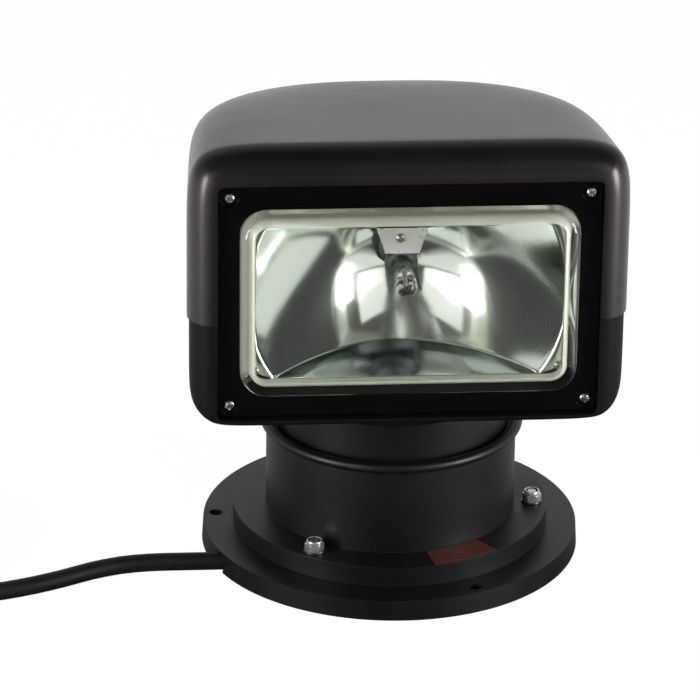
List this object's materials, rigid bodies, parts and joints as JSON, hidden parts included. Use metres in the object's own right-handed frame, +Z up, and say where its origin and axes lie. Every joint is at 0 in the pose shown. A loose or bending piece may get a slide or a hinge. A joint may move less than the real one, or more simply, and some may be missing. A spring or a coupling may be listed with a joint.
{
  "type": "marine searchlight",
  "caption": "Remote-control marine searchlight: a wide black lamp head with a rectangular glass lens tilts on a turret that pans on a round flanged base bolted to the deck.",
  "frame": {"origin": "centre of the mounting disc's underside, on the deck and on the pan axis", "axes": "+Z up along the pan axis, the lamp looks along -Y at rest, +X to the right seen from the front"},
  "size_m": [0.4113, 0.1812, 0.234],
  "materials": {
    "black_paint": "satin black paint over cast aluminium",
    "black_plastic": "satin black moulding",
    "gloss_black": "polished black",
    "stainless": "bright stainless steel",
    "dark_steel": "zinc-plated steel",
    "aluminium": "plain cast aluminium",
    "brass": "turned brass",
    "rubber": "matt black rubber",
    "mirror_metal": "mirror-bright",
    "lens_glass": "clear, faintly yellow-green",
    "bulb_glass": "clear quartz",
    "strip": "dull red-brown",
    "board_green": "green laminate",
    "relay_dark": "dark moulding",
    "socket_pale": "pale ceramic-like moulding",
    "tie_dark": "woven hook-and-loop strap",
    "ring_grey": "dark grey moulding"
  },
  "bodies": {
    "base": {"mounting_disc": "black_paint", "flange_seal": "rubber", "base_housing": "black_paint", "flange_studs": "stainless", "flange_washers": "stainless", "flange_nuts": "stainless", "seal_strip": "strip", "neck_seal": "rubber", "cord_grommet": "rubber", "supply_lead": "rubber", "bearing_outer_rings": "stainless", "bearing_balls": "stainless", "pan_motor": "dark_steel", "pan_motor_screws": "stainless", "control_board": "board_green", "board_relays": "relay_dark", "board_posts": "brass", "power_cord": "rubber", "cord_coil": "rubber", "coil_tie": "tie_dark", "cord_tail": "rubber", "connector_boot": "rubber", "connector_body": "black_plastic", "connector_ring": "ring_grey"},
    "pan_pinion": {"pan_pinion": "brass"},
    "turret": {"turret_body": "black_paint", "pan_shaft": "stainless", "pan_shaft_screws": "stainless", "pan_gear": "stainless", "bearing_inner_rings": "stainless", "shaft_circlip": "dark_steel", "wiring_loom": "rubber", "yoke": "dark_steel", "yoke_screws": "stainless", "tilt_bushes": "brass", "tilt_motor": "dark_steel", "tilt_motor_screws": "stainless"},
    "tilt_pinion": {"tilt_pinion": "brass"},
    "head": {"lower_housing": "black_plastic", "upper_cover": "black_plastic", "cover_screws": "stainless", "lamp_frame": "black_plastic", "bezel": "gloss_black", "bezel_screws": "stainless", "lens": "lens_glass", "lens_gasket": "rubber", "reflector": "mirror_metal", "reflector_screws": "stainless", "bulb_capsule": "bulb_glass", "bulb_base": "dark_steel", "bulb_clip": "mirror_metal", "bulb_clip_screw": "stainless", "lamp_socket": "socket_pale", "ballast": "aluminium", "ballast_tray": "dark_steel", "tilt_shaft": "stainless", "shaft_spacers": "brass", "tilt_sector": "stainless", "pivot_blocks": "aluminium", "block_screws": "stainless"}
  },
  "joints": [
    {"name": "pan", "type": "hinge", "parent": "base", "child": "turret", "pos_m": [0, 0, 0.06], "axis": [0, 0, 1], "range_deg": [-180, 180]},
    {"name": "tilt", "type": "hinge", "parent": "turret", "child": "head", "pos_m": [0, 0.012, 0.15], "axis": [-1, 0, 0], "range_deg": [-8, 25]},
    {"name": "pan_pinion_spin", "type": "hinge", "parent": "base", "child": "pan_pinion", "pos_m": [0, 0.04125, 0.06], "axis": [0, 0, 1], "range_deg": [-730, 730]},
    {"name": "tilt_pinion_spin", "type": "hinge", "parent": "turret", "child": "tilt_pinion", "pos_m": [0, 0.012, 0.105], "axis": [-1, 0, 0], "range_deg": [-135, 50]}
  ],
  "couplings": [
    {"joint": "pan_pinion_spin", "follows": "pan", "ratio": -4},
    {"joint": "tilt_pinion_spin", "follows": "tilt", "ratio": -5}
  ]
}
